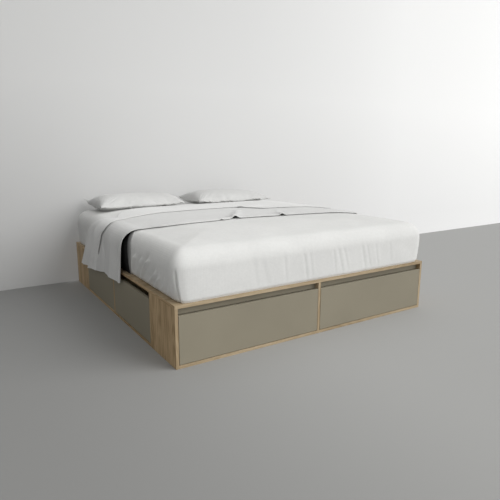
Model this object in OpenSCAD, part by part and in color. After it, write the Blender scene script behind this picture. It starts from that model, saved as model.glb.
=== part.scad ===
// Platform bed with six drawers, mattress and bedding.
// X runs across the bed, Y from the foot (-Y) to the head (+Y), Z up.
// The origin is on the floor, under the middle of the platform.

/* [Platform] */
// Outer width of the platform
bed_w = 1950; // [1800:10:2100]
// Outer length of the platform
bed_l = 2080; // [1960:10:2200]
// Height of the platform, from the floor to the top of its deck
bed_h = 350; // [335:5:450]
// Thickness of the oak panels
panel_t = 18; // [15:1:22]
// Depth of the end modules, from the end face to the far side of the bulkhead
end_module_d = 360; // [355:5:420]
// Depth of the side modules, from the side face to the far side of the spine
side_module_d = 640; // [630:5:760]
// Number of ribs that carry the deck between the spines
rib_count = 3; // [1:2:7]
// Distance between two ribs
rib_pitch = 330; // [150:10:420]

/* [Drawers] */
// Height of the finger gap over each drawer front
finger_gap_h = 40; // [24:1:48]
// Gap between a closed drawer front and the panels beside and under it
front_reveal = 3; // [2:0.5:5]
// Thickness of the drawer fronts
front_t = 18; // [16:1:22]
// Radius on the long edges of a drawer front
front_edge_r = 1.5; // [0.5:0.5:3]
// Thickness of the sides and backs of the drawer boxes
box_t = 15; // [12:1:18]
// Height of the drawer boxes
box_h = 225; // [150:5:235]
// Height of the drawer boxes over the base panel
box_lift = 14; // [8:1:18]
// Thickness of the drawer bottoms
bottom_t = 6; // [4:1:8]
// Depth of the groove that holds a drawer bottom
groove_d = 6; // [4:1:8]
// Height of the groove over the lower edge of the box
groove_up = 10; // [8:1:20]
// Distance from a foot drawer front to the finger rail behind it
rail_setback = 14; // [10:1:40]
// Height of the finger rails
rail_h = 42; // [38:1:50]

/* [Runners] */
// Space between the back of a foot drawer box and the bulkhead
foot_back_gap = 14; // [5:1:40]
// Space between the back of a side drawer box and the spine
side_back_gap = 24; // [5:1:60]
// How much shorter than their box the runners of the foot drawers are
foot_runner_short = 10; // [5:5:40]
// How much shorter than their box the runners of the side drawers are
side_runner_short = 30; // [5:5:60]
// Space for a runner between a drawer box and the panel beside it
runner_gap = 13; // [12.5:0.5:16]
// Height of the runner channels
runner_h = 30; // [26:1:40]
// Thickness of the runner steel
runner_t = 1.2; // [1:0.1:2]
// Height of the runner channels over the lower edge of the box
runner_up = 12; // [8:1:30]
// Running clearance of the rollers and runners
runner_play = 0.3; // [0.2:0.05:0.5]

/* [Dowels] */
// Diameter of the dowels that locate the deck
dowel_d = 8; // [6:1:10]
// Length of a dowel
dowel_l = 30; // [25:1:40]
// Length of a dowel that stands in the deck
dowel_in_deck = 10; // [6:1:12]
// Clearance between a dowel and its bore, on the radius
dowel_play = 0.1; // [0.05:0.05:0.3]
// Clearance between the ends of a dowel and its bore
dowel_end_play = 0.5; // [0.2:0.1:1]

/* [Mattress] */
// Thickness of the mattress at its middle
mattress_t = 315; // [240:5:360]
// Distance from the widest line of the mattress to the side faces
mattress_side_margin = 1; // [0:1:30]
// Distance from the mattress to the foot face
mattress_foot_margin = 2; // [0:1:30]
// Distance from the mattress to the head face
mattress_head_margin = 18; // [0:1:40]
// Radius of the upper edge of the mattress
shoulder_r = 110; // [60:5:120]
// Rise of the mattress from the top of its rounded edge to its middle
crown_rise = 28; // [10:1:50]
// Width of the stretch over which the crown rises
crown_run = 350; // [200:10:400]
// How far the long sides draw in at the bottom
side_draw_in = 33; // [10:1:50]
// How far the ends draw in at the bottom
end_draw_in = 10; // [0:1:30]
// Radius of the vertical corners of the mattress
corner_r = 70; // [40:5:90]

/* [Bedding] */
// Clearance between a soft piece and what it lies on
soft_gap = 0.5; // [0.3:0.1:0.8]
// Thickness of the dark blanket
blanket_t = 4; // [3:0.5:6]
// Thickness of the coverlet
coverlet_t = 5; // [3:0.5:6]
// Thickness of the top sheet
sheet_t = 4; // [2:0.5:6]
// How far the hanging coverlet stands out from the side faces
coverlet_out = 28; // [20:1:30]
// How far the hanging top sheet stands out from the coverlet
sheet_out = 3; // [1:1:6]
// Height of the hem of the coverlet over the floor, at its front corner
coverlet_hem_z = 279; // [250:1:320]
// How much higher that hem is beside the drawers nearer the head
coverlet_hem_rise = 26; // [0:1:40]
// Height of the hem of the top sheet over the floor, at its rear corner
sheet_hem_z = 232; // [220:1:320]
// Depth of the folds in the hanging cloth
fold_depth = 6; // [2:1:8]
// Distance from one hanging fold to the next
fold_pitch = 170; // [120:10:260]

/* [Pillows] */
// Length of the left pillow, from corner to corner
pillow_left_w = 745; // [600:5:780]
// Length of the right pillow, from corner to corner
pillow_right_w = 800; // [600:5:860]
// Width of a pillow, from corner to corner
pillow_d = 470; // [400:10:500]
// Thickness of a pillow
pillow_t = 112; // [70:1:160]
// Gap between the two pillows
pillow_gap = 122; // [5:1:140]
// How far the middle of that gap lies to the left of the middle of the bed
pillow_shift = 81; // [0:1:100]
// Distance from the pillows to the head face
pillow_head_margin = 12; // [5:1:60]
// Height of a pillow's side seam over the middle of the mattress
pillow_seam_z = 8; // [4:1:45]
// How much further a pillow's front corners turn up
pillow_front_lift = 8; // [0:1:30]
// How much further its rear corners turn up
pillow_rear_lift = 38; // [0:1:50]
// How far a pillow's sides draw in between the corners
pillow_draw_in = 9; // [3:1:40]

/* [Hidden] */

// colours
OAK = [0.74, 0.62, 0.46];
TAUPE = [0.55, 0.52, 0.44];
BIRCH = [0.85, 0.76, 0.60];
STEEL = [0.80, 0.81, 0.82];
WHITE_CLOTH = [0.92, 0.92, 0.90];
DARK_CLOTH = [0.05, 0.05, 0.05];

// platform
deck_z = bed_h - panel_t;
inner_w = bed_w - 2 * panel_t;
module_y = bed_l / 2 - end_module_d;
spine_x = bed_w / 2 - side_module_d;
bed_side = bed_w / 2;
bed_end = bed_l / 2;

// bays: clear width, and distance of their middle from the middle of the bed
foot_bay_w = (inner_w - panel_t) / 2;
foot_bay_x = panel_t / 2 + foot_bay_w / 2;
side_bay_w = module_y - panel_t / 2;
side_bay_y = panel_t / 2 + side_bay_w / 2;

// drawers
front_z = panel_t + front_reveal;
front_h = deck_z - finger_gap_h - front_z;
box_z = panel_t + box_lift;
bottom_z = box_z + groove_up;
groove_play = 0.5;
groove_h = bottom_t + groove_play;
foot_box_d = end_module_d - panel_t - front_t - foot_back_gap;
side_box_d = side_module_d - panel_t - front_t - side_back_gap;

// runners
foot_runner_l = foot_box_d - foot_runner_short;
side_runner_l = side_box_d - side_runner_short;
runner_z = box_z + runner_up;
runner_front_gap = 2;
channel_w = runner_gap - runner_t - runner_play;
front_roller_r = runner_h / 2;
rear_roller_r = runner_h / 2 - runner_t - runner_play;
roller_zone = 2 * front_roller_r + 4;
rear_roller_inset = rear_roller_r + 6;

// dowels: two rows on the spines, one dowel on each side panel
dowel_r = dowel_d / 2;
dowel_bore_r = dowel_r + dowel_play;
dowel_z = deck_z + dowel_in_deck - dowel_l;
spine_dowel_x = spine_x + panel_t / 2;
spine_dowel_y = module_y - 80;
deck_seam_dowel_y = 100;
side_dowel_x = bed_side - panel_t / 2;
side_dowel_y = bed_end - end_module_d / 2;
SPINE_DOWELS = [for (y = [-spine_dowel_y, -deck_seam_dowel_y, deck_seam_dowel_y, spine_dowel_y]) [spine_dowel_x, y]];
SIDE_DOWELS = [for (y = [-side_dowel_y, side_dowel_y]) [side_dowel_x, y]];
RIGHT_DOWELS = concat(SPINE_DOWELS, SIDE_DOWELS);
LEFT_DOWELS = [for (p = RIGHT_DOWELS) [-p[0], p[1]]];

// mattress
mattress_a = bed_side - mattress_side_margin;
mattress_b = bed_end - (mattress_foot_margin + mattress_head_margin) / 2;
mattress_y = (mattress_foot_margin - mattress_head_margin) / 2;
mattress_z = bed_h + soft_gap;
mattress_top = bed_h + mattress_t;
shoulder_top = mattress_top - crown_rise;
shoulder_z = shoulder_top - shoulder_r;
SIDE_STEPS = 4;
SHOULDER_STEPS = 5;
CROWN_STEPS = 4;
CORNER_STEPS = 5;

// bedding: heights of the layers over the mattress
blanket_level = soft_gap;
coverlet_level = blanket_level + blanket_t + soft_gap;
sheet_level = coverlet_level + coverlet_t + soft_gap;
sheet_drop_out = coverlet_out + coverlet_t + sheet_out;
cloth_shoulder_x = mattress_a - shoulder_r;
cloth_drop_z = shoulder_z - 20;
TURN_STEPS = 5;
DROP_STEPS = 5;
CLOTH_COLS = 14;

// bedding: where the front and rear edges of each layer cross the middle, the shoulder
// and the hem, measured from the foot face, then how late they bend on top and how soon
// they level off below the shoulder
pillow_front = bed_l - pillow_head_margin - pillow_d;
BLANKET_EDGES = [[646, 700, 678, 10, 3], [pillow_front - 90, 1200, 1200, 8, 1.6]];
COVERLET_EDGES = [[638, 712, 785, 10, 3], [pillow_front - 60, 1240, 1300, 8, 1.6]];
SHEET_EDGES = [[1180, 1137, 1338, 2, 0.75], [pillow_front - 5, 1290, 1765, 8, 0.9]];

// pillows
pillow_y = bed_end - pillow_head_margin - pillow_d / 2;
pillow_z = mattress_top + soft_gap;
PILLOW_COLS = 18;
PILLOW_ROWS = 12;

function mix(a, b, t) = a + (b - a) * t;
function clamp(t) = max(0, min(1, t));
function ease(t) = let (c = clamp(t)) c * c * (3 - 2 * c);

// ---------------------------------------------------------------- helpers

// box given by its lowest corner and its size
module block(corner, size) {
    translate(corner) cube(size);
}

// upright dowel bores through the top edge of a panel, or into the deck
module dowel_bores(places) {
    for (p = places)
        translate([p[0], p[1], dowel_z - dowel_end_play])
            cylinder(r = dowel_bore_r, h = dowel_l + 2 * dowel_end_play, $fn = 24);
}

// closed skin over a grid of points: outer[i][j] and inner[i][j]
module cloth_skin(outer, inner) {
    m = len(outer);
    n = len(outer[0]);
    points = concat([for (row = outer, p = row) p], [for (row = inner, p = row) p]);
    function o(i, j) = i * n + j;
    function q(i, j) = m * n + i * n + j;
    faces = concat(
        [for (i = [0:m - 2], j = [0:n - 2]) each [
            [o(i, j), o(i + 1, j + 1), o(i + 1, j)], [o(i, j), o(i, j + 1), o(i + 1, j + 1)],
            [q(i, j), q(i + 1, j), q(i + 1, j + 1)], [q(i, j), q(i + 1, j + 1), q(i, j + 1)]]],
        [for (i = [0:m - 2]) each [
            [o(i, 0), q(i + 1, 0), q(i, 0)], [o(i, 0), o(i + 1, 0), q(i + 1, 0)],
            [o(i, n - 1), q(i, n - 1), q(i + 1, n - 1)], [o(i, n - 1), q(i + 1, n - 1), o(i + 1, n - 1)]]],
        [for (j = [0:n - 2]) each [
            [o(0, j), q(0, j), q(0, j + 1)], [o(0, j), q(0, j + 1), o(0, j + 1)],
            [o(m - 1, j), q(m - 1, j + 1), q(m - 1, j)], [o(m - 1, j), o(m - 1, j + 1), q(m - 1, j + 1)]]]);
    polyhedron(points = points, faces = faces);
}

// ---------------------------------------------------------------- carcass

module foot_base() {
    color(OAK) block([-inner_w / 2, -bed_end, 0], [inner_w, end_module_d - panel_t, panel_t]);
}

module head_base() {
    color(OAK) block([-inner_w / 2, module_y + panel_t, 0], [inner_w, end_module_d - 2 * panel_t, panel_t]);
}

module side_base() {
    color(OAK) block([spine_x + panel_t, -module_y, 0], [side_module_d - panel_t, 2 * module_y, panel_t]);
}

module left_base() {
    mirror([1, 0, 0]) side_base();
}

module right_base() {
    side_base();
}

// side panel of an end module, on the right of the bed
module end_side(y) {
    color(OAK) difference() {
        block([bed_side - panel_t, y, 0], [panel_t, end_module_d, deck_z]);
        dowel_bores(SIDE_DOWELS);
    }
}

module foot_side_left() {
    mirror([1, 0, 0]) end_side(-bed_end);
}

module foot_side_right() {
    end_side(-bed_end);
}

module head_side_left() {
    mirror([1, 0, 0]) end_side(module_y);
}

module head_side_right() {
    end_side(module_y);
}

// full-width cross panel between the side panels
module cross_panel(y) {
    color(OAK) block([-inner_w / 2, y, 0], [inner_w, panel_t, deck_z]);
}

module foot_bulkhead() {
    cross_panel(-module_y - panel_t);
}

module head_bulkhead() {
    cross_panel(module_y);
}

module head_panel() {
    cross_panel(bed_end - panel_t);
}

module foot_divider() {
    color(OAK) block([-panel_t / 2, -bed_end, panel_t], [panel_t, end_module_d - panel_t, deck_z - panel_t]);
}

module side_divider() {
    color(OAK) block([spine_x + panel_t, -panel_t / 2, panel_t], [side_module_d - panel_t, panel_t, deck_z - panel_t]);
}

module left_divider() {
    mirror([1, 0, 0]) side_divider();
}

module right_divider() {
    side_divider();
}

module spine() {
    color(OAK) difference() {
        block([spine_x, -module_y, 0], [panel_t, 2 * module_y, deck_z]);
        dowel_bores(SPINE_DOWELS);
    }
}

module left_spine() {
    mirror([1, 0, 0]) spine();
}

module right_spine() {
    spine();
}

module centre_ribs() {
    color(OAK) for (i = [0:rib_count - 1])
        block([-spine_x, (i - (rib_count - 1) / 2) * rib_pitch - panel_t / 2, 0], [2 * spine_x, panel_t, deck_z]);
}

// half of the deck, on the head side
module deck_half() {
    difference() {
        block([-bed_side, 0, deck_z], [bed_w, bed_end, panel_t]);
        dowel_bores(concat(RIGHT_DOWELS, LEFT_DOWELS));
    }
}

module deck_foot() {
    color(OAK) mirror([0, 1, 0]) deck_half();
}

module deck_head() {
    color(OAK) deck_half();
}

module finger_rails() {
    color(TAUPE) for (side = [-1, 1])
        block([side * foot_bay_x - foot_bay_w / 2, -bed_end + front_t + rail_setback, deck_z - rail_h],
            [foot_bay_w, panel_t, rail_h]);
}

module deck_dowels() {
    color(BIRCH) for (p = concat(RIGHT_DOWELS, LEFT_DOWELS))
        translate([p[0], p[1], dowel_z]) cylinder(r = dowel_r, h = dowel_l, $fn = 24);
}

// ---------------------------------------------------------------- bays

// A bay's own frame: x across the bay from its middle, y inwards from its face, z up.
module foot_bay(side) {
    translate([side * foot_bay_x, -bed_end, 0]) children();
}

module left_bay(end) {
    translate([-bed_side, end * side_bay_y, 0]) rotate([0, 0, -90]) children();
}

module right_bay(end) {
    translate([bed_side, end * side_bay_y, 0]) rotate([0, 0, 90]) children();
}

// channel with a roller at its front, on the panel at the right of the bay
module cabinet_runner(bay_w, runner_l) {
    wall = bay_w / 2;
    y0 = front_t + runner_front_gap;
    flange_y = y0 + roller_zone;
    flange_l = runner_l - roller_zone;
    block([wall - runner_t, y0, runner_z], [runner_t, runner_l, runner_h]);
    block([wall - channel_w, flange_y, runner_z], [channel_w - runner_t / 2, flange_l, runner_t]);
    block([wall - channel_w, flange_y, runner_z + runner_h - runner_t], [channel_w - runner_t / 2, flange_l, runner_t]);
    translate([wall - runner_t / 2, y0 + front_roller_r + runner_play, runner_z + runner_h / 2])
        rotate([0, -90, 0]) cylinder(r = front_roller_r, h = channel_w - runner_t / 2, $fn = 36);
}

module cabinet_runner_pair(bay_w, runner_l) {
    cabinet_runner(bay_w, runner_l);
    mirror([1, 0, 0]) cabinet_runner(bay_w, runner_l);
}

module foot_cabinet_runners() {
    color(STEEL) for (side = [-1, 1])
        foot_bay(side) cabinet_runner_pair(foot_bay_w, foot_runner_l);
}

module side_cabinet_runners() {
    color(STEEL) for (end = [-1, 1]) {
        left_bay(end) cabinet_runner_pair(side_bay_w, side_runner_l);
        right_bay(end) cabinet_runner_pair(side_bay_w, side_runner_l);
    }
}

// ---------------------------------------------------------------- drawers

// outer width of a drawer box in a bay
function box_w(bay_w) = bay_w - 2 * runner_gap;

// section of a drawer front, its outer face at the left, with eased long edges
module front_section() {
    r = front_edge_r;
    translate([r, 0]) square([front_t - r, front_h]);
    translate([0, r]) square([front_t / 2, front_h - 2 * r]);
    for (y = [r, front_h - r]) translate([r, y]) circle(r = r, $fn = 24);
}

module drawer_front(bay_w) {
    w = bay_w - 2 * front_reveal;
    color(TAUPE) difference() {
        translate([-w / 2, 0, front_z]) rotate([90, 0, 90]) linear_extrude(w) front_section();
        block([-box_w(bay_w) / 2 + box_t - groove_d, front_t - groove_d, bottom_z],
            [box_w(bay_w) - 2 * box_t + 2 * groove_d, groove_d + 1, groove_h]);
    }
}

module drawer_sides(bay_w, box_d) {
    color(BIRCH) for (side = [0, 1]) mirror([side, 0, 0]) difference() {
        block([box_w(bay_w) / 2 - box_t, front_t, box_z], [box_t, box_d, box_h]);
        block([box_w(bay_w) / 2 - box_t - 1, front_t - 1, bottom_z], [groove_d + 1, box_d - box_t + groove_d + 1, groove_h]);
    }
}

module drawer_back(bay_w, box_d) {
    w = box_w(bay_w) - 2 * box_t;
    color(BIRCH) difference() {
        block([-w / 2, front_t + box_d - box_t, box_z], [w, box_t, box_h]);
        block([-w / 2 - 1, front_t + box_d - box_t - 1, bottom_z], [w + 2, groove_d + 1, groove_h]);
    }
}

module drawer_bottom(bay_w, box_d) {
    w = box_w(bay_w) - 2 * box_t + 2 * (groove_d - groove_play);
    d = box_d - box_t + 2 * (groove_d - groove_play);
    color(BIRCH) block([-w / 2, front_t - groove_d + groove_play, bottom_z], [w, d, bottom_t]);
}

// runner on the right side of a box: a web, a flange over the front roller, and the rear roller
module drawer_runner(bay_w, runner_l) {
    face = box_w(bay_w) / 2;
    y0 = front_t + runner_front_gap;
    rise = runner_h + runner_play;
    block([face, y0, runner_z], [runner_t, runner_l, rise + runner_t]);
    block([face, y0, runner_z + rise], [runner_gap - runner_t - runner_play, runner_l, runner_t]);
    translate([face + runner_t / 2, y0 + runner_l - rear_roller_inset, runner_z + runner_h / 2])
        rotate([0, 90, 0]) cylinder(r = rear_roller_r, h = channel_w - runner_t - runner_play, $fn = 36);
}

module drawer_runner_pair(bay_w, runner_l) {
    color(STEEL) {
        drawer_runner(bay_w, runner_l);
        mirror([1, 0, 0]) drawer_runner(bay_w, runner_l);
    }
}

module foot_left_front() { foot_bay(-1) drawer_front(foot_bay_w); }
module foot_left_sides() { foot_bay(-1) drawer_sides(foot_bay_w, foot_box_d); }
module foot_left_back() { foot_bay(-1) drawer_back(foot_bay_w, foot_box_d); }
module foot_left_bottom() { foot_bay(-1) drawer_bottom(foot_bay_w, foot_box_d); }
module foot_left_runners() { foot_bay(-1) drawer_runner_pair(foot_bay_w, foot_runner_l); }

module foot_right_front() { foot_bay(1) drawer_front(foot_bay_w); }
module foot_right_sides() { foot_bay(1) drawer_sides(foot_bay_w, foot_box_d); }
module foot_right_back() { foot_bay(1) drawer_back(foot_bay_w, foot_box_d); }
module foot_right_bottom() { foot_bay(1) drawer_bottom(foot_bay_w, foot_box_d); }
module foot_right_runners() { foot_bay(1) drawer_runner_pair(foot_bay_w, foot_runner_l); }

module left_foot_front() { left_bay(-1) drawer_front(side_bay_w); }
module left_foot_sides() { left_bay(-1) drawer_sides(side_bay_w, side_box_d); }
module left_foot_back() { left_bay(-1) drawer_back(side_bay_w, side_box_d); }
module left_foot_bottom() { left_bay(-1) drawer_bottom(side_bay_w, side_box_d); }
module left_foot_runners() { left_bay(-1) drawer_runner_pair(side_bay_w, side_runner_l); }

module left_head_front() { left_bay(1) drawer_front(side_bay_w); }
module left_head_sides() { left_bay(1) drawer_sides(side_bay_w, side_box_d); }
module left_head_back() { left_bay(1) drawer_back(side_bay_w, side_box_d); }
module left_head_bottom() { left_bay(1) drawer_bottom(side_bay_w, side_box_d); }
module left_head_runners() { left_bay(1) drawer_runner_pair(side_bay_w, side_runner_l); }

module right_foot_front() { right_bay(-1) drawer_front(side_bay_w); }
module right_foot_sides() { right_bay(-1) drawer_sides(side_bay_w, side_box_d); }
module right_foot_back() { right_bay(-1) drawer_back(side_bay_w, side_box_d); }
module right_foot_bottom() { right_bay(-1) drawer_bottom(side_bay_w, side_box_d); }
module right_foot_runners() { right_bay(-1) drawer_runner_pair(side_bay_w, side_runner_l); }

module right_head_front() { right_bay(1) drawer_front(side_bay_w); }
module right_head_sides() { right_bay(1) drawer_sides(side_bay_w, side_box_d); }
module right_head_back() { right_bay(1) drawer_back(side_bay_w, side_box_d); }
module right_head_bottom() { right_bay(1) drawer_bottom(side_bay_w, side_box_d); }
module right_head_runners() { right_bay(1) drawer_runner_pair(side_bay_w, side_runner_l); }

// ---------------------------------------------------------------- mattress

// [share of the side draw-in, distance in from the widest line, height] of each ring
SIDE_RINGS = [for (k = [0:SIDE_STEPS - 1]) let (h = k / SIDE_STEPS)
    [(1 - h) * (1 - h), 0, mix(mattress_z, shoulder_z, h)]];
SHOULDER_RINGS = [for (k = [0:SHOULDER_STEPS]) let (a = 90 * k / SHOULDER_STEPS)
    [0, shoulder_r * (1 - cos(a)), shoulder_z + shoulder_r * sin(a)]];
CROWN_RINGS = [for (k = [1:CROWN_STEPS]) let (u = k / CROWN_STEPS)
    [0, shoulder_r + crown_run * u, shoulder_top + crown_rise * (1 - (1 - u) * (1 - u))]];
MATTRESS_RINGS = concat(SIDE_RINGS, SHOULDER_RINGS, CROWN_RINGS);

function ring_points(ring) =
    let (a = mattress_a - ring[1] - side_draw_in * ring[0] - corner_r,
         b = mattress_b - ring[1] - end_draw_in * ring[0] - corner_r)
    [for (q = [0:3], k = [0:CORNER_STEPS])
        let (angle = 90 * (q + k / CORNER_STEPS),
             sx = (q == 0 || q == 3) ? 1 : -1,
             sy = q < 2 ? 1 : -1)
        [sx * a + corner_r * cos(angle), mattress_y + sy * b + corner_r * sin(angle), ring[2]]];

module mattress() {
    n = 4 * (CORNER_STEPS + 1);
    m = len(MATTRESS_RINGS);
    points = concat([for (ring = MATTRESS_RINGS) each ring_points(ring)],
        [[0, mattress_y, mattress_z], [0, mattress_y, mattress_top]]);
    low = m * n;
    high = low + 1;
    function at(i, j) = i * n + j % n;
    faces = concat(
        [for (i = [0:m - 2], j = [0:n - 1]) each [
            [at(i, j), at(i + 1, j), at(i + 1, j + 1)], [at(i, j), at(i + 1, j + 1), at(i, j + 1)]]],
        [for (j = [0:n - 1]) each [[low, at(0, j), at(0, j + 1)], [high, at(m - 1, j + 1), at(m - 1, j)]]]);
    color(WHITE_CLOTH) polyhedron(points = points, faces = faces);
}

// ---------------------------------------------------------------- bedding

// how far the top of the mattress lies below its middle, its rounded edge left out
function crown_drop(x, y) =
    let (inset = min(mattress_a - abs(x), mattress_b - abs(y - mattress_y)),
         u = clamp((inset - shoulder_r) / crown_run))
    crown_rise * (1 - u) * (1 - u);
function crown_z(x) = mattress_top - crown_drop(x, 0);

// Edge of a layer along its section: from the middle (0) to the shoulder (1) and the hem (2).
function edge_y(edge, s) = -bed_end + (s < 1
    ? mix(edge[0], edge[1], pow(s, edge[3]))
    : mix(edge[1], edge[2], 1 - pow(2 - s, edge[4])));
function front_y(edges, s) = edge_y(edges[0], s);
function rear_y(edges, s) = edge_y(edges[1], s);

// displacement of hanging cloth: none on top, the whole fold at the hem
function fold_x(y, drop) = fold_depth * ease(drop) * sin(360 * y / fold_pitch);

// point of a draped layer on the right half: s from 0 (middle) to 1 (shoulder) to 2 (hem)
function drape_x(s, out) = s < 1 ? cloth_shoulder_x * s
    : cloth_shoulder_x + (shoulder_r + mattress_side_margin + out) * pow(sin(90 * clamp(2 * (s - 1))), 2 / 2.5);
function drape_z(s, level, hem_z) = s < 1 ? crown_z(cloth_shoulder_x * s) + level
    : s < 1.5 ? cloth_drop_z + (shoulder_top + level - cloth_drop_z) * pow(cos(180 * (s - 1)), 2 / 2.5)
    : mix(cloth_drop_z, hem_z, 2 * s - 3);

// positions on top of the bed, at the rings of the mattress
TOP_SECTION = [for (k = [CROWN_STEPS:-1:0]) 1 - crown_run * k / CROWN_STEPS / cloth_shoulder_x];

// positions along a section, from the left hem (-2) to the right hem (2)
HALF_SECTION = concat(
    TOP_SECTION,
    [for (k = [1:TURN_STEPS]) 1 + 0.5 * k / TURN_STEPS],
    [for (k = [1:DROP_STEPS]) 1.5 + 0.5 * k / DROP_STEPS]);
SECTION = concat([for (k = [len(HALF_SECTION) - 1:-1:0]) -HALF_SECTION[k]], [0], HALF_SECTION);

// hems: height over the floor at share t from the front edge to the rear edge
function coverlet_hem(t) = coverlet_hem_z + coverlet_hem_rise * ease(2.2 * t);
function sheet_hem(t) = mix(sheet_hem_z + 14, sheet_hem_z, t);

function drape_grid(edges, level, out, hems) =
    [for (s = SECTION)
        let (side = s < 0 ? -1 : 1, r = abs(s))
        [for (j = [0:CLOTH_COLS])
            let (t = j / CLOTH_COLS, y = mix(front_y(edges, r), rear_y(edges, r), t))
            [side * (drape_x(r, out) + fold_x(y, (r - 1.2) / 0.8)), y, drape_z(r, level, hems[j])]]];

module drape(edges, level, out, thickness, hems) {
    cloth_skin(drape_grid(edges, level + thickness, out + thickness, hems), drape_grid(edges, level, out, hems));
}

module coverlet() {
    hems = [for (j = [0:CLOTH_COLS]) coverlet_hem(j / CLOTH_COLS)];
    color(WHITE_CLOTH) drape(COVERLET_EDGES, coverlet_level, coverlet_out, coverlet_t, hems);
}

module top_sheet() {
    hems = [for (j = [0:CLOTH_COLS]) sheet_hem(j / CLOTH_COLS)];
    color(WHITE_CLOTH) drape(SHEET_EDGES, sheet_level, sheet_drop_out, sheet_t, hems);
}

// The blanket lies close on the mattress. Its section follows the mattress rings.
// [distance from the middle, height, outward direction in x and z, position along its edges]
BLANKET_TOP = [for (s = concat([0], TOP_SECTION)) let (x = cloth_shoulder_x * s)
    [x, crown_z(x), 0, 1, s]];
BLANKET_TURN = [for (k = [1:SHOULDER_STEPS]) let (a = 90 * k / SHOULDER_STEPS)
    [cloth_shoulder_x + shoulder_r * sin(a), shoulder_z + shoulder_r * cos(a), sin(a), cos(a),
        1 + 0.4 * k / SHOULDER_STEPS]];
BLANKET_SIDE = [for (k = [1:SIDE_STEPS]) let (h = k / SIDE_STEPS)
    [mattress_a - side_draw_in * h * h, mix(shoulder_z, mattress_z, h), 1, 0, 1.4 + 0.6 * h]];
BLANKET_HALF = concat(BLANKET_TOP, BLANKET_TURN, BLANKET_SIDE);
BLANKET_COLS = 2;

function blanket_row(side, p, out) =
    [for (j = [0:BLANKET_COLS])
        [side * (p[0] + out * p[2]),
            mix(front_y(BLANKET_EDGES, p[4]), rear_y(BLANKET_EDGES, p[4]), j / BLANKET_COLS),
            p[1] + out * p[3]]];
function blanket_grid(out) = concat(
    [for (k = [len(BLANKET_HALF) - 1:-1:1]) blanket_row(-1, BLANKET_HALF[k], out)],
    [for (p = BLANKET_HALF) blanket_row(1, p, out)]);

module blanket() {
    color(DARK_CLOTH) cloth_skin(blanket_grid(blanket_level + blanket_t), blanket_grid(blanket_level));
}

// ---------------------------------------------------------------- pillows

// u and v run from -1 to 1 across the pillow
function pillow_plan(w, u, v) = [
    (w / 2 - pillow_draw_in * (1 - pow(v, 4))) * u,
    (pillow_d / 2 - pillow_draw_in * (1 - pow(u, 4))) * v];
function pillow_seam(u, v) = pillow_seam_z
    + mix(pillow_front_lift, pillow_rear_lift, (1 + v) / 2) * pow(abs(u * v), 4);
function pillow_crown(u, v) = pow((1 - pow(abs(u), 5)) * (1 - pow(abs(v), 2.6)), 0.6);
function pillow_upper(w, u, v) = [each pillow_plan(w, u, v),
    mix(pillow_seam(u, v), pillow_t, pillow_crown(u, v))];
// the underside lies on the crown of the mattress; x is the middle of the pillow
function pillow_lower(x, w, u, v) =
    let (p = pillow_plan(w, u, v), rest = clamp(2.5 * pillow_crown(u, v)))
    [each p, mix(pillow_seam(u, v), -crown_drop(x + p[0], pillow_y + p[1]), rest)];
function spread(k, steps) = sin(90 * (2 * k / steps - 1));

module pillow(x, w) {
    m = PILLOW_COLS;
    n = PILLOW_ROWS;
    upper_points = [for (i = [0:m], j = [0:n]) pillow_upper(w, spread(i, m), spread(j, n))];
    lower_points = [for (i = [1:m - 1], j = [1:n - 1]) pillow_lower(x, w, spread(i, m), spread(j, n))];
    function top(i, j) = i * (n + 1) + j;
    function under(i, j) = (i == 0 || i == m || j == 0 || j == n) ? top(i, j)
        : (m + 1) * (n + 1) + (i - 1) * (n - 1) + j - 1;
    faces = [for (i = [0:m - 1], j = [0:n - 1]) each ((2 * i < m) == (2 * j < n)) ? [
        [top(i, j), top(i, j + 1), top(i + 1, j + 1)], [top(i, j), top(i + 1, j + 1), top(i + 1, j)],
        [under(i, j), under(i + 1, j + 1), under(i, j + 1)], [under(i, j), under(i + 1, j), under(i + 1, j + 1)]] : [
        [top(i, j), top(i, j + 1), top(i + 1, j)], [top(i, j + 1), top(i + 1, j + 1), top(i + 1, j)],
        [under(i, j), under(i + 1, j), under(i, j + 1)], [under(i, j + 1), under(i + 1, j), under(i + 1, j + 1)]]];
    color(WHITE_CLOTH) translate([x, pillow_y, pillow_z])
        polyhedron(points = concat(upper_points, lower_points), faces = faces);
}

module pillow_left() {
    pillow(-pillow_shift - (pillow_gap + pillow_left_w) / 2, pillow_left_w);
}

module pillow_right() {
    pillow(-pillow_shift + (pillow_gap + pillow_right_w) / 2, pillow_right_w);
}

foot_base();
head_base();
left_base();
right_base();
foot_side_left();
foot_side_right();
head_side_left();
head_side_right();
foot_bulkhead();
head_bulkhead();
head_panel();
foot_divider();
left_divider();
right_divider();
left_spine();
right_spine();
centre_ribs();
deck_foot();
deck_head();
finger_rails();
foot_cabinet_runners();
side_cabinet_runners();
deck_dowels();
mattress();
blanket();
coverlet();
top_sheet();
pillow_left();
pillow_right();
foot_left_front();
foot_left_sides();
foot_left_back();
foot_left_bottom();
foot_left_runners();
foot_right_front();
foot_right_sides();
foot_right_back();
foot_right_bottom();
foot_right_runners();
left_foot_front();
left_foot_sides();
left_foot_back();
left_foot_bottom();
left_foot_runners();
left_head_front();
left_head_sides();
left_head_back();
left_head_bottom();
left_head_runners();
right_foot_front();
right_foot_sides();
right_foot_back();
right_foot_bottom();
right_foot_runners();
right_head_front();
right_head_sides();
right_head_back();
right_head_bottom();
right_head_runners();
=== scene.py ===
# Platform storage bed: materials, fitted mattress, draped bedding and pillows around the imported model.
import math

import bmesh
import bpy
from mathutils import Matrix, Vector, noise
from mathutils.bvhtree import BVHTree


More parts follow.
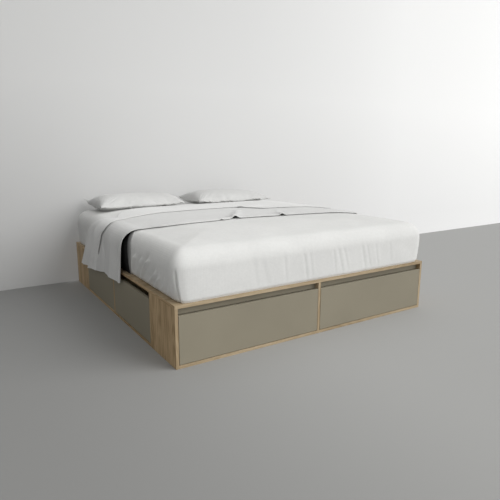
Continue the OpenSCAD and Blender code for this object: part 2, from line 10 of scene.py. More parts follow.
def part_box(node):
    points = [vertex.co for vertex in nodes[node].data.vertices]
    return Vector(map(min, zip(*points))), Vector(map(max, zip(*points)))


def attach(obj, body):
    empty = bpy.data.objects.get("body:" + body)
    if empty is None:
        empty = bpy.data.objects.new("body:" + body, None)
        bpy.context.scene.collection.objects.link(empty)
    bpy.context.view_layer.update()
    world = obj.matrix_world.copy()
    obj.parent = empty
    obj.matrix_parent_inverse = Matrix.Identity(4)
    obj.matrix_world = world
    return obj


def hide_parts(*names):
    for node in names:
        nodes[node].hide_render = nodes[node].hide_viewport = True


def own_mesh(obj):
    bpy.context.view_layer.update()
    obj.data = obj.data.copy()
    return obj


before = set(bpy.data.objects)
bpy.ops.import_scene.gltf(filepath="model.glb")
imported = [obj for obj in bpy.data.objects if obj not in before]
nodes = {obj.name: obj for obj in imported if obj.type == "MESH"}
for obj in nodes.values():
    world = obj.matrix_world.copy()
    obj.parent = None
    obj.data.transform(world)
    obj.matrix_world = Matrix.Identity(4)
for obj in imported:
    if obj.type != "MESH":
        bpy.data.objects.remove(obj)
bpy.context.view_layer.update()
bedBody = "platform_and_bedding"
footFace = 1.04  # metres from the foot face to the origin
scene = bpy.context.scene
scene.view_settings.view_transform = "Standard"
print("frame loaded,", len(nodes), "nodes")


def mix(a, b, share):
    return a + (b - a) * share


def clamp(value, low=0.0, high=1.0):
    return max(low, min(high, value))


def ease(share):
    share = clamp(share)
    return share * share * (3 - 2 * share)


def curveAt(knots, value):
    # smooth line through (place, height) knots
    if value <= knots[0][0]:
        return knots[0][1]
    if value >= knots[-1][0]:
        return knots[-1][1]
    index = next(i for i in range(1, len(knots)) if value <= knots[i][0])
    (x0, y0), (x1, y1) = knots[index - 1], knots[index]
    gap = x1 - x0
    before = after = (y1 - y0) / gap
    if index > 1:
        before = (y1 - knots[index - 2][1]) / (x1 - knots[index - 2][0])
    if index + 1 < len(knots):
        after = (knots[index + 1][1] - y0) / (knots[index + 1][0] - x0)
    t = (value - x0) / gap
    return ((1 + 2 * t) * (1 - t) ** 2 * y0 + t * (1 - t) ** 2 * gap * before
            + t * t * (3 - 2 * t) * y1 - t * t * (1 - t) * gap * after)


def wobble(x, y, z, size, seed=0.0):
    # smooth random value between about -1 and 1, with bumps of about this size
    return noise.noise(Vector((x / size + seed, y / size + 1.7 * seed, z / size - seed)))


def finishPiece(bm, name, material, sharpAngle=None):
    # turns a bmesh into a smooth object that rides on the platform
    bmesh.ops.recalc_face_normals(bm, faces=bm.faces)
    for face in bm.faces:
        face.smooth = True
    if sharpAngle:
        for edge in bm.edges:
            if len(edge.link_faces) == 2 and edge.calc_face_angle(0) > sharpAngle:
                edge.smooth = False
    mesh = bpy.data.meshes.new(name)
    bm.to_mesh(mesh)
    bm.free()
    piece = bpy.data.objects.new(name, mesh)
    scene.collection.objects.link(piece)
    mesh.materials.append(material)
    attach(piece, bedBody)
    return piece


class Graph:
    # the nodes of a material or world, and short ways to add and join them
    def __init__(self, owner):
        owner.use_nodes = True
        self.owner = owner
        self.tree = owner.node_tree
        self.shader = self.tree.nodes.get("Principled BSDF")

    def add(self, kind, **settings):
        node = self.tree.nodes.new(kind)
        for key, value in settings.items():
            setattr(node, key, value)
        return node

    def feed(self, value, socket):
        # a number or colour is set on the socket, and an output is joined to it
        if isinstance(value, tuple):
            socket.default_value = (*value, 1)
        elif isinstance(value, (int, float)):
            socket.default_value = value
        else:
            self.tree.links.new(value, socket)

    def coordinates(self, kind="Object"):
        return self.add("ShaderNodeTexCoord").outputs[kind]

    def place(self, scale=(1, 1, 1)):
        # object coordinates, scaled
        mapping = self.add("ShaderNodeMapping")
        mapping.inputs["Scale"].default_value = scale
        self.feed(self.coordinates(), mapping.inputs["Vector"])
        return mapping.outputs["Vector"]

    def apart(self, vector):
        split = self.add("ShaderNodeSeparateXYZ")
        self.feed(vector, split.inputs["Vector"])
        return split.outputs

    def noise(self, vector, scale, detail=3.0, roughness=0.5, distortion=0.0):
        node = self.add("ShaderNodeTexNoise")
        for key, value in zip(("Scale", "Detail", "Roughness", "Distortion"),
                              (scale, detail, roughness, distortion)):
            node.inputs[key].default_value = value
        self.feed(vector, node.inputs["Vector"])
        return node.outputs["Fac"]

    def ramp(self, value, stops):
        node = self.add("ShaderNodeValToRGB")
        ramp = node.color_ramp
        while len(ramp.elements) < len(stops):
            ramp.elements.new(0.5)
        for element, (position, colour) in zip(ramp.elements, stops):
            element.position = position
            element.color = (*colour, 1)
        self.feed(value, node.inputs["Fac"])
        return node.outputs["Color"]

    def math(self, operation, a, b):
        node = self.add("ShaderNodeMath", operation=operation)
        self.feed(a, node.inputs[0])
        self.feed(b, node.inputs[1])
        return node.outputs["Value"]

    def span(self, value, low, high, atLow=0, atHigh=1, kind="LINEAR"):
        # carries low..high over to atLow..atHigh, and stays inside
        node = self.add("ShaderNodeMapRange", interpolation_type=kind)
        for key, number in zip(("From Min", "From Max", "To Min", "To Max"), (low, high, atLow, atHigh)):
            node.inputs[key].default_value = number
        self.feed(value, node.inputs["Value"])
        return node.outputs["Result"]

    def blend(self, share, a, b, mode="MIX"):
        node = self.add("ShaderNodeMix", data_type="RGBA", blend_type=mode)
        for value, key in ((share, "Factor"), (a, "A"), (b, "B")):
            self.feed(value, node.inputs[key])
        return node.outputs["Result"]

    def either(self, share, a, b):
        # one shader or the other
        node = self.add("ShaderNodeMixShader")
        for socket, value in zip(node.inputs, (share, a, b)):
            self.feed(value, socket)
        return node.outputs["Shader"]

    def bump(self, height, strength, distance):
        node = self.add("ShaderNodeBump")
        node.inputs["Strength"].default_value = strength
        node.inputs["Distance"].default_value = distance
        self.feed(height, node.inputs["Height"])
        self.feed(node.outputs["Normal"], self.shader.inputs["Normal"])

    def finish(self, colour, roughness, **sockets):
        self.feed(colour, self.shader.inputs["Base Color"])
        self.feed(roughness, self.shader.inputs["Roughness"])
        for name, value in sockets.items():
            self.shader.inputs[name.replace("_", " ")].default_value = value
        return self.owner


def newGraph(name):
    return Graph(bpy.data.materials.new(name))


oakLook = {
    "pale": (0.500, 0.398, 0.270), "middle": (0.432, 0.335, 0.217), "dark": (0.330, 0.245, 0.148),
    "pore": (0.215, 0.150, 0.082), "roughness": 0.55, "figure": 9.0, "waves": 16.0, "contrast": 0.05,
}
shadedSideOakLook = {  # the long side panels get a darker, warmer copy of the oak, painted shade for the shaded sides
    "pale": (0.565, 0.415, 0.250), "middle": (0.470, 0.338, 0.195), "dark": (0.330, 0.225, 0.118),
    "pore": (0.190, 0.128, 0.066), "roughness": 0.55, "figure": 8.0, "waves": 15.0, "contrast": 0.09,
}


oakGrain = {
    # how far each pattern is stretched along the grain, and its scale
    "streaks": (0.055, 16.0), "figureStretch": 0.16, "fibre": 110.0, "pores": (0.03, 520.0),
    "poreShare": 0.55, "shineSpread": 0.16, "bump": (0.25, 0.0004), "gloss": 0.25,
}


def oakMaterial(name, grain, look=oakLook):
    # grain is 0, 1 or 2: the axis that the fibres run along
    graph = newGraph(name)

    def stretched(amount):
        return graph.place([amount if axis == grain else 1.0 for axis in range(3)])

    streaks = stretched(oakGrain["streaks"][0])
    hills = graph.noise(stretched(oakGrain["figureStretch"]), look["figure"], 1.5, 0.45, 0.25)
    rings = graph.math("SINE", graph.math("MULTIPLY", hills, 2 * math.pi * look["waves"]), 0.0)
    broad = graph.noise(streaks, oakGrain["streaks"][1], 3.0, 0.55, 0.6)
    fine = graph.noise(streaks, oakGrain["fibre"], 4.0, 0.6)
    pores = graph.noise(stretched(oakGrain["pores"][0]), oakGrain["pores"][1], 2.0, 0.5)
    tone = graph.math("ADD", broad, graph.math("MULTIPLY", rings, look["contrast"]))
    body = graph.ramp(tone, [(0.30, look["dark"]), (0.46, look["middle"]), (0.66, look["pale"])])
    fibre = graph.ramp(fine, [(0.30, (0.86, 0.84, 0.80)), (0.65, (1.06, 1.06, 1.05))])
    wood = graph.blend(1.0, body, fibre, "MULTIPLY")
    poreMask = graph.ramp(pores, [(0.30, (1, 1, 1)), (0.40, (0, 0, 0))])
    colour = graph.blend(graph.math("MULTIPLY", poreMask, oakGrain["poreShare"]), wood, look["pore"])
    spread = oakGrain["shineSpread"]
    shine = graph.math("ADD", graph.math("MULTIPLY", fine, spread), look["roughness"] - spread / 2)
    graph.bump(graph.math("SUBTRACT", fine, poreMask), *oakGrain["bump"])
    return graph.finish(colour, shine, Specular_IOR_Level=oakGrain["gloss"])


lacquerLook = {
    "colour": (0.283, 0.255, 0.193), "clouds": (3.0, 0.035), "roughness": 0.55, "shineSpread": 0.10,
    "spray": 420.0, "bump": (0.10, 0.0003), "gloss": 0.22,
}


def lacquerMaterial(name, look):
    graph = newGraph(name)
    scale, change = look["clouds"]
    clouds = graph.noise(graph.place(), scale, 2.0)
    darker, lighter = (tuple(level * part for part in look["colour"]) for level in (1 - change, 1 + change))
    tint = graph.ramp(clouds, [(0.3, darker), (0.7, lighter)])
    spread = look["shineSpread"]
    shine = graph.math("ADD", graph.math("MULTIPLY", clouds, spread), look["roughness"] - spread / 2)
    graph.bump(graph.noise(graph.place(), look["spray"], 2.0), *look["bump"])
    return graph.finish(tint, shine, Specular_IOR_Level=look["gloss"])


steelLook = {
    "dark": (0.66, 0.66, 0.65), "pale": (0.74, 0.74, 0.73), "speckle": 900.0,
    "bump": (0.2, 0.0002), "roughness": 0.42, "metal": 0.35,
}


def steelMaterial(name, look):
    graph = newGraph(name)
    speckle = graph.noise(graph.place(), look["speckle"], 2.0)
    colour = graph.ramp(speckle, [(0.35, look["dark"]), (0.65, look["pale"])])
    graph.bump(speckle, *look["bump"])
    return graph.finish(colour, look["roughness"], Metallic=look["metal"])


clothLook = {
    # slubs are the thicker places in the threads, clouds the slow change of the colour
    "slub": 60.0, "slubShade": 0.965, "slubRise": 1.5, "clouds": 5.0, "uneven": 0.6, "bump": 0.35,
    "roughness": 0.9, "sheenRoughness": 0.5, "gloss": 0.25,
}


def clothMaterial(name, colour, threads, weave, sheen, shade=0.94, edgeShadeStops=None):
    # threads is the number of threads in a metre, weave the depth of the bump in metres
    graph = newGraph(name)
    place = graph.place()
    slub = graph.noise(place, clothLook["slub"], 3.0, 0.6)
    height = graph.math("MULTIPLY", slub, clothLook["slubRise"])
    for axis in ("X", "Y", "Z"):
        band = graph.add("ShaderNodeTexWave", wave_type="BANDS", bands_direction=axis, wave_profile="SIN")
        band.inputs["Scale"].default_value = threads / 20
        band.inputs["Distortion"].default_value = clothLook["uneven"]
        band.inputs["Detail"].default_value = 1.0
        graph.feed(place, band.inputs["Vector"])
        height = graph.math("ADD", height, band.outputs["Fac"])
    graph.bump(height, clothLook["bump"], weave)
    clouds = graph.noise(place, clothLook["clouds"], 3.0)
    tint = graph.ramp(clouds, [(0.3, tuple(shade * part for part in colour)), (0.7, colour)])
    thread = graph.ramp(slub, [(0.35, (clothLook["slubShade"],) * 3), (0.65, (1.0, 1.0, 1.0))])
    cloth = graph.blend(1.0, tint, thread, "MULTIPLY")
    if edgeShadeStops:  # painted shade: a grey band that darkens into the black with the distance from the front edge, kept on the mesh
        fromEdge = graph.add("ShaderNodeAttribute", attribute_name="fromEdge")
        cloth = graph.blend(1.0, cloth, graph.ramp(fromEdge.outputs["Fac"], edgeShadeStops), "MULTIPLY")
    return graph.finish(cloth, clothLook["roughness"], Sheen_Weight=sheen,
                        Sheen_Roughness=clothLook["sheenRoughness"], Specular_IOR_Level=clothLook["gloss"])


oakAcross = oakMaterial("oakAcross", 0)
oakLengthways = oakMaterial("oakLengthways", 1)
oakUpright = oakMaterial("oakUpright", 2)
# darker, warmer oak copies for the faces towards the sides: painted shade
shadedSideOakUpright = oakMaterial("shadedSideOakUpright", 2, shadedSideOakLook)
shadedSideOakLengthways = oakMaterial("shadedSideOakLengthways", 1, shadedSideOakLook)
birchLook = {
    "pale": (0.78, 0.67, 0.50), "middle": (0.74, 0.62, 0.45), "dark": (0.68, 0.56, 0.39),
    "pore": (0.55, 0.43, 0.29), "roughness": 0.5, "figure": 6.0, "waves": 8.0, "contrast": 0.03,
}
birchAcross = oakMaterial("birchAcross", 0, birchLook)
birchLengthways = oakMaterial("birchLengthways", 1, birchLook)
taupeLacquer = lacquerMaterial("taupeLacquer", lacquerLook)
runnerSteel = steelMaterial("runnerSteel", steelLook)
fittedCotton = clothMaterial("fittedCotton", (0.785, 0.785, 0.770), 700, 0.0003, 0.15)
coverletCotton = clothMaterial("coverletCotton", (0.735, 0.735, 0.725), 500, 0.0004, 0.15)
sheetCotton = clothMaterial("sheetCotton", (0.82, 0.82, 0.81), 800, 0.0003, 0.15)
pillowCotton = clothMaterial("pillowCotton", (0.635, 0.635, 0.625), 700, 0.0003, 0.15)
# a black blanket whose near-black tint stands partly for deep shade under the coverlet edge, with a grey band
# of painted soft shade along its front edge
blanketWoolAndShade = clothMaterial("blanketWoolAndShade", (1.0, 1.0, 1.0), 260, 0.0009, 0.0, 0.9, edgeShadeStops=[
    (0.00, (0.42, 0.42, 0.415)), (0.45, (0.24, 0.24, 0.238)),
    (0.90, (0.13, 0.13, 0.13)), (1.00, (0.0045, 0.0045, 0.005))])
print("materials made")


def dressNode(name, material):
    mesh = nodes[name].data
    mesh.materials.clear()
    mesh.materials.append(material)


for name in nodes:
    if name.endswith("_front") or name == "finger_rails":
        dressNode(name, taupeLacquer)
    elif name.endswith("_runners"):
        dressNode(name, runnerSteel)
    elif name.endswith(("_sides", "_back", "_bottom")):
        across = name.startswith("foot") == name.endswith(("_back", "_bottom"))
        dressNode(name, birchAcross if across else birchLengthways)
    elif name == "deck_dowels":
        dressNode(name, birchLengthways)
    elif name.endswith("_spine") or name in ("left_base", "right_base"):
        dressNode(name, oakLengthways)
    elif "side_" in name or name.endswith("_divider"):
        dressNode(name, oakUpright)
    else:
        dressNode(name, oakAcross)
# painted shade: the faces towards the sides get the darker, warmer copy of the oak
shadedSideFaces = {
    shadedSideOakLengthways: ("deck_foot", "deck_head", "left_base", "right_base"),
    shadedSideOakUpright: ("foot_side_left", "foot_side_right", "head_side_left", "head_side_right",
                     "left_divider", "right_divider"),
}
for material, names in shadedSideFaces.items():
    for name in names:
        mesh = nodes[name].data
        mesh.materials.append(material)
        for polygon in mesh.polygons:
            if abs(polygon.normal.x) > 0.9:
                polygon.material_index = 1
print("carcass and drawers finished")


mattressLow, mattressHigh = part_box("mattress")
mattress = {
    "halfWidth": mattressHigh.x, "halfLength": (mattressHigh.y - mattressLow.y) / 2,
    "middleY": (mattressHigh.y + mattressLow.y) / 2, "bottom": mattressLow.z, "top": mattressHigh.z,
    "shoulder": 0.110, "crownRise": 0.028, "crownRun": 0.350,
    "sideDrawIn": (0.033, 0.012), "endDrawIn": 0.002, "cornerPower": 3.35, "tuckIn": 0.007,
    "cuts": (150, 176, 32), "rimCuts": 2,
    "dense": (0.40, 0.66),  # the foot 0.40 of the length has 0.66 of the cells
    # height, size and seed of the slow unevenness
    "topSwell": (0.0012, 0.35), "sideSwell": (0.0012, 0.12, 3.0),
    "pushTop": (0.62, 0.45),  # folds fade out on the shoulder, from the first height down over the second
    "turnUnder": 0.09,  # share of the side that turns under along the bottom
    # creases on the foot face: x and z of their lower and upper end, half width, depth
    "footFolds": [
        (-0.47, 0.4, -0.505, 0.6, 0.014, 0.0008), (-0.392, 0.39, -0.44, 0.54, 0.016, 0.0007),
        (-0.262, 0.4, -0.284, 0.6, 0.011, 0.0009), (-0.104, 0.38, -0.143, 0.595, 0.01, 0.0013),
        (-0.06, 0.39, -0.09, 0.56, 0.009, 0.0007), (0.13, 0.39, 0.1, 0.56, 0.009, 0.0009),
        (0.19, 0.38, 0.128, 0.59, 0.011, 0.0013), (0.235, 0.4, 0.19, 0.54, 0.009, 0.0007),
        (0.395, 0.37, 0.34, 0.575, 0.011, 0.0012), (0.44, 0.39, 0.395, 0.54, 0.009, 0.0007),
        (0.512, 0.39, 0.47, 0.57, 0.01, 0.001), (0.64, 0.4, 0.615, 0.53, 0.013, 0.0006),
    ],
    # pulled ridges on the left side, from the top end down: y and z of their points, half width, height
    "ridges": [
        ([(-0.5, 0.532), (-0.46, 0.488), (-0.367, 0.389)], 0.012, 0.0145),
        ([(-0.608, 0.529), (-0.548, 0.468), (-0.451, 0.381)], 0.012, 0.0155),
        ([(-0.725, 0.545), (-0.686, 0.514), (-0.578, 0.43), (-0.517, 0.377)], 0.012, 0.0155),
        ([(-0.818, 0.494), (-0.741, 0.436), (-0.633, 0.375)], 0.011, 0.013),
        ([(-0.855, 0.474), (-0.764, 0.402), (-0.705, 0.368)], 0.0105, 0.0105),
        ([(-0.93, 0.48), (-0.88, 0.42), (-0.8, 0.368)], 0.009, 0.0045),
        ([(-0.985, 0.47), (-0.945, 0.415), (-0.89, 0.368)], 0.009, 0.003),
    ],
    "ridgeShare": (1.3, 0.35),  # how strongly they show near the foot, and mirrored near the head
    # shift of the ridges, and where they end
    "blanketFrom": {"left": (0.0, -0.385), "right": (0.08, -0.375)},
    "cornerTuck": (0.006, 0.010, 0.004),  # half width, depth and place of the tucked fold on each corner
}


def bell(distance, width):
    return math.exp(-((distance / width) ** 2))


def crownDrop(x, y):
    # how far the top lies below its highest point
    inset = min(mattress["halfWidth"] - abs(x), mattress["halfLength"] - abs(y - mattress["middleY"]))
    share = clamp((inset - mattress["shoulder"]) / mattress["crownRun"])
    return mattress["crownRise"] * (1 - share) ** 2


def shoulderShare(value, half):
    # place along one axis: how far out on the flat part, and the turn of the shoulder from 0 to 1
    flat = (half - mattress["shoulder"]) / (half + 0.57 * mattress["shoulder"])
    if abs(value) <= flat:
        return value / flat, 0.0
    return math.copysign(1.0, value), math.copysign((abs(value) - flat) / (1 - flat), value)


def mattressPlan(u, v):
    # point seen from above, and the height of the shoulder there from 0 (widest line) to 1 (top)
    flatX, turnX = shoulderShare(u, mattress["halfWidth"])
    flatY, turnY = shoulderShare(v, mattress["halfLength"])
    sx, sy = math.sin(turnX * math.pi / 2), math.sin(turnY * math.pi / 2)
    dx, dy = sx * math.sqrt(1 - sy * sy / 2), sy * math.sqrt(1 - sx * sx / 2)
    reach = math.hypot(dx, dy)
    height = math.sqrt(max(0.0, 1 - reach * reach))
    if reach > 1e-6:
        power = mattress["cornerPower"]
        spread = (abs(dx / reach) ** power + abs(dy / reach) ** power) ** (-1 / power)
        dx, dy = dx * spread, dy * spread
    x = flatX * (mattress["halfWidth"] - mattress["shoulder"]) + dx * mattress["shoulder"]
    y = flatY * (mattress["halfLength"] - mattress["shoulder"]) + dy * mattress["shoulder"]
    return x, y, height


def lineShare(a, b, a0, b0, a1, b1):
    # place along a line from 0 to 1, and distance to its side
    da, db = a1 - a0, b1 - b0
    length = math.hypot(da, db)
    return ((a - a0) * da + (b - b0) * db) / (length * length), ((a - a0) * db - (b - b0) * da) / length


def foldHeight(a, b, folds):
    # a and b are the place on a side face; a fold is a soft groove with a ridge beside it
    total = 0.0
    for a0, b0, a1, b1, width, depth in folds:
        along, side = lineShare(a, b, a0, b0, a1, b1)
        if abs(side) > 5 * width or along < -0.35 or along > 1.35:
            continue
        fade = ease((along + 0.30) / 0.45) * ease((1.30 - along) / 0.55)
        total += depth * fade * (0.75 * bell(side - 1.9 * width, 1.2 * width) - bell(side, width))
    return total


def ridgeHeight(a, b):
    # a and b are the place on a side face; each ridge is steep on its lower side
    total = 0.0
    for points, width, height in mattress["ridges"]:
        best = (1.0, 0.0, 0.0)
        length = len(points) - 1
        for index in range(length):
            (a0, b0), (a1, b1) = points[index], points[index + 1]
            along, side = lineShare(a, b, a0, b0, a1, b1)
            along = clamp(along)
            away = math.hypot(a - mix(a0, a1, along), b - mix(b0, b1, along))
            if away < best[0]:
                best = (away, math.copysign(away, side), (index + along) / length)
        away, side, along = best
        if away > 5 * width:
            continue
        fade = ease(along / 0.35) * ease((1.04 - along) / 0.14)
        total += height * fade * (bell(away, width) - 0.45 * bell(side + 2.0 * width, 1.5 * width))
    return total


def mattressPush(x, y, z, nx, ny):
    # how far the sheet stands out or sinks in on the sides
    push = 0.0
    if abs(ny) > 0.5:
        push += foldHeight(x if ny < 0 else 0.06 - x, z, mattress["footFolds"]) * ease((abs(ny) - 0.5) * 2)
    if abs(nx) > 0.5:
        shift, limit = mattress["blanketFrom"]["left" if nx < 0 else "right"]
        near, far = mattress["ridgeShare"]
        ridges = near * ridgeHeight(y + shift, z) * ease((limit - y - shift) / 0.035)
        push += (ridges + far * ridgeHeight(-y - 0.07, z)) * ease((abs(nx) - 0.5) * 2)
    width, depth, place = mattress["cornerTuck"]
    if abs(nx * ny) > 1e-6:
        across = (abs(nx) - abs(ny)) * mattress["shoulder"] * 0.7 - place
        tuck = bell(across, width) - 0.20 * bell(across + 2.2 * width, 1.6 * width)
        push -= depth * tuck * ease((0.545 - z) / 0.060)
    return push


def mattressPoint(u, v, w):
    # u and v from -1 to 1 cover the top, and w goes from 1 on the top to -1 at the foot of the sides
    split, share = mattress["dense"]
    place = (v + 1) / 2
    place = split * place / share if place < share else mix(split, 1, (place - share) / (1 - share))
    x, y, height = mattressPlan(u, 2 * place - 1)
    yRow = y + mattress["middleY"]
    flatX, flatY = mattress["halfWidth"] - mattress["shoulder"], mattress["halfLength"] - mattress["shoulder"]
    nx, ny = x - clamp(x, -flatX, flatX), y - clamp(y, -flatY, flatY)
    reach = math.hypot(nx, ny)
    nx, ny = (nx / reach, ny / reach) if reach > 1e-6 else (0.0, 0.0)
    if w > 0.999:
        rise, size = mattress["topSwell"]
        z = mattress["top"] - crownDrop(x, y) - mattress["shoulder"] * (1 - height)
        z += rise * wobble(x, yRow, 0, size) * ease((height - 0.5) * 2)
        fadeFrom, fadeOver = mattress["pushTop"]
        push = 0.0
        if height <= fadeFrom:
            push = mattressPush(x, yRow, z, nx, ny) * ease((fadeFrom - height) / fadeOver)
        return Vector((x + nx * push, yRow + ny * push, z))
    share = (w + 1) / 2
    z = mix(mattress["bottom"], mattress["top"] - mattress["crownRise"] - mattress["shoulder"], share)
    draw = (1 - share) ** 2
    outX, outY = abs(x) / mattress["halfWidth"], abs(y) / mattress["halfLength"]
    rise, size, seed = mattress["sideSwell"]
    push = mattressPush(x, yRow, z, nx, ny)
    push += rise * wobble(x, yRow, z, size, seed) * ease(4 * (1 - share))
    push -= mattress["tuckIn"] * (1 - ease(share / mattress["turnUnder"]))
    sideDraw = mix(*mattress["sideDrawIn"], ease((yRow + 0.2) / 0.9)) * draw
    endDraw = mattress["endDrawIn"] * draw
    x -= math.copysign(sideDraw, x) * clamp(outX * outX if outX > outY else abs(nx))
    y = yRow - math.copysign(endDraw, y) * clamp(outY * outY if outX <= outY else abs(ny))
    return Vector((x + nx * push, y + ny * push, z))


def buildMattress():
    # the top is a grid, and its rim is drawn down ring by ring to make the sides
    bm = bmesh.new()
    across, lengthways, down = mattress["cuts"]
    raised = Matrix.Translation((0, 0, 1))
    bmesh.ops.create_grid(bm, x_segments=across, y_segments=lengthways, size=1.0, matrix=raised)
    rim = [edge for edge in bm.edges if edge.is_boundary]
    bmesh.ops.subdivide_edges(bm, edges=rim, cuts=mattress["rimCuts"])
    rim = [edge for edge in bm.edges if edge.is_boundary]
    for ring in range(down):
        drawn = bmesh.ops.extrude_edge_only(bm, edges=rim)["geom"]
        corners = [part for part in drawn if isinstance(part, bmesh.types.BMVert)]
        bmesh.ops.translate(bm, vec=(0, 0, -2 / down), verts=corners)
        rim = [part for part in drawn if isinstance(part, bmesh.types.BMEdge)]
    bmesh.ops.contextual_create(bm, geom=rim)
    for vert in bm.verts:
        vert.co = mattressPoint(*vert.co)
    piece = finishPiece(bm, "mattressInSheet", fittedCotton, sharpAngle=1.0)
    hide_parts("mattress")


buildMattress()
print("mattress made")


drape = {
    "shoulderX": mattress["halfWidth"] - mattress["shoulder"],
    "shoulderTop": mattress["top"] - mattress["crownRise"],
    "splitZ": 0.507,  # the drops start here, and are squashed towards this height
    "bulge": 0.8, "gap": 0.001, "rows": 90, "topColumns": 330, "dropColumns": 36, "crowded": 0.4,
    "topEnds": (0.95, 0.25),  # section place where the top starts to fade out, and over how much
}
pillowFront = 1.598
# Front edges are (section place, metres from the foot face): 0 middle, 1 shoulder, 1.5 side, 2 hem.
# Rear edges are that distance in the middle, at the shoulder and at the hem, then two bend powers.
# Hems are (metres from the foot face, height). Creases cross the top: their ends, half width, height.
# Folds run down the drop: section places and metres from the foot face, half width, height.
# Drops: name, stretch in metres from the foot face, joint that pushes the drop up, share of its
# height that is left.
blanket = {
    "level": 0.0005, "thickness": 0.004, "cuts": (280, 64), "crowded": 0.75, "flat": (2.45, 0.90),
    "turn": 0.4, "edgeSway": (0.002, 0.03, 5.0),
    # painted shade: width of the grey band along the front edge, by section place
    "shadeBandWidth": [(0, .060), (1.35, .060), (1.5, .055), (1.75, .030), (2, .012)],
    "left": [(0, .664), (.25, .668), (.40, .648), (.675, .632), (.85, .662), (1.0, .722), (1.08, .735),
             (1.23, .674), (1.35, .640), (1.5, .645), (1.75, .690), (1.9, .722), (2, .742)],
    "right": [(0, .672), (.55, .640), (1.0, .660), (1.23, .618), (1.35, .576), (1.5, .574), (1.9, .624),
              (2, .635)],
    "rear": (pillowFront - 0.090, 1.200, 1.200, 8, 1.6),
}
coverlet = {
    "name": "whiteCoverlet", "node": "coverlet", "slot": "coverlet_cotton",
    "flat": (2.60, 0.95), "on": ["blanket"],
    "level": 0.005, "out": 0.028, "thickness": 0.005,
    "hang": (1.15, 0.60), "shiftRight": 0.04, "rearFade": None,
    "sway": (0.0015, 0.11, 4.0), "curl": (0.0070, 0.014),
    "swell": (0.0012, 0.0010, 0.20, 2.0), "lip": (0.0030, 0.018), "edgeLift": (0.0008, 0.03),
    "underSheet": 0.012,  # how far it is pressed in where the sheet lies over it
    # the drop is made in two, which meet where the drawers part
    "drops": [("Drop", (0, 1.040), "foot_slide", 0.87), ("HeadDrop", (1.040, 3), "head_slide", 0.80)],
    "left": [(0, .642), (.25, .654), (.40, .634), (.675, .618), (.85, .641), (.958, .690), (1.05, .718),
             (1.2, .730), (1.5, .760), (1.7, .790), (2, .818)],
    "right": [(0, .642), (.035, .635), (.40, .600), (.646, .565), (.85, .565), (1.05, .620), (1.3, .660),
              (1.5, .680), (2, .750)],
    "rear": (pillowFront - 0.060, 1.300, 1.440, 8, 1.6),
    "hem": [(.70, .278), (.861, .282), (.980, .284), (1.12, .284), (1.26, .268), (1.34, .258), (1.5, .255)],
    # tunnels in the front edge: x, half width, height, length
    "tunnels": [(-0.219, 0.025, 0.016, 0.07), (0.164, 0.021, 0.014, 0.06), (-0.338, 0.014, 0.007, 0.03)],
    "creases": [(-0.219, -0.375, 0.07, 0.04, 0.03, 0.009), (0.164, -0.375, 0.3, -0.15, 0.024, 0.005)],
    "folds": [
        ([(1.25, .925), (1.5, .94), (1.78, .975), (2, 1.000)], 0.055, 0.012),
        ([(1.25, 1.135), (1.59, 1.124), (1.72, 1.123), (1.86, 1.149), (2, 1.176)], 0.034, -0.011),
        ([(1.25, .815), (1.6, .83), (2, .87)], 0.03, -0.006),
    ],
}
topSheet = {
    "name": "whiteTopSheet", "node": "top_sheet", "slot": "sheet_cotton",
    "flat": (2.70, 0.75), "on": ["coverlet"],
    "level": 0.0105, "out": 0.036, "thickness": 0.004,
    "hang": (1.02, 0.60), "shiftRight": 0.10, "rearFade": 0.07,
    "sway": (0.0020, 0.07, 9.0), "curl": (0.0090, 0.016),
    "swell": (0.0012, 0.0010, 0.18, 6.0), "lip": (0.0025, 0.020), "edgeLift": (0.0030, 0.020),
    # distance before its rear edge, width and height of its step down
    "behindCoverlet": (0.015, 0.040, 0.0085),
    "drops": [("Drop", (0, 3), "head_slide", 0.72)],
    "left": [(0, 1.185), (.35, 1.180), (.70, 1.151), (.91, 1.135), (1.1, 1.130), (1.33, 1.140), (1.41, 1.170),
             (1.5, 1.200), (1.62, 1.250), (1.72, 1.285), (1.82, 1.315), (2, 1.345)],
    "right": [(0, 1.185), (.155, 1.143), (.275, 1.003), (.42, .980), (.617, .944), (.9, .930), (1.1, .930),
              (1.33, .975), (1.5, 1.030), (2, 1.170)],
    "rear": (pillowFront - 0.005, 1.290, 1.765, 8, 0.9),
    "hem": [(1.17, .256), (1.34, .256), (1.491, .246), (1.557, .241), (1.617, .244), (1.77, .233)],
    "creases": [(0.1, 0.11, 0.5, 0.125, 0.02, 0.006), (-0.5, 0.3, 0.1, 0.33, 0.03, 0.003)],
    "folds": [
        ([(1.3, 1.255), (1.493, 1.293), (1.64, 1.34), (1.767, 1.386), (1.888, 1.447), (2, 1.512)],
         0.036, 0.016),
        ([(1.3, 1.33), (1.493, 1.375), (1.64, 1.422), (1.767, 1.47), (1.888, 1.53), (2, 1.59)],
         0.036, -0.0065),
        ([(1.3, 1.4), (1.6, 1.51), (2, 1.67)], 0.034, 0.0095),
    ],
}


def crownZ(x):
    return mattress["top"] - crownDrop(x, 0)


def rearY(edge, r):
    middle, shoulder, hem, bend, power = edge
    if r < 1:
        return mix(middle, shoulder, r ** bend)
    return mix(shoulder, hem, 1 - (2 - r) ** power)


def layerY(layer, s, t):
    # place along the bed, and how far it is from the layer's front edge
    r = abs(s)
    front = curveAt(layer["right" if s > 0 else "left"], r)
    rear = rearY(layer["rear"], r)
    return mix(front, rear, t) - footFace, t * (rear - front)


def foldRise(folds, r, y):
    # ridges and grooves that run down the drop
    return sum(height * bell(y + footFace - curveAt(knots, r), width) for knots, width, height in folds)


def creaseHeight(x, y, creases):
    total = 0.0
    for x0, y0, x1, y1, width, height in creases:
        along, across = lineShare(x, y, x0, y0, x1, y1)
        fade = ease((along + 0.1) / 0.2) * ease((1.05 - along) / 0.6)
        total += height * fade * bell(across, width)
    return total


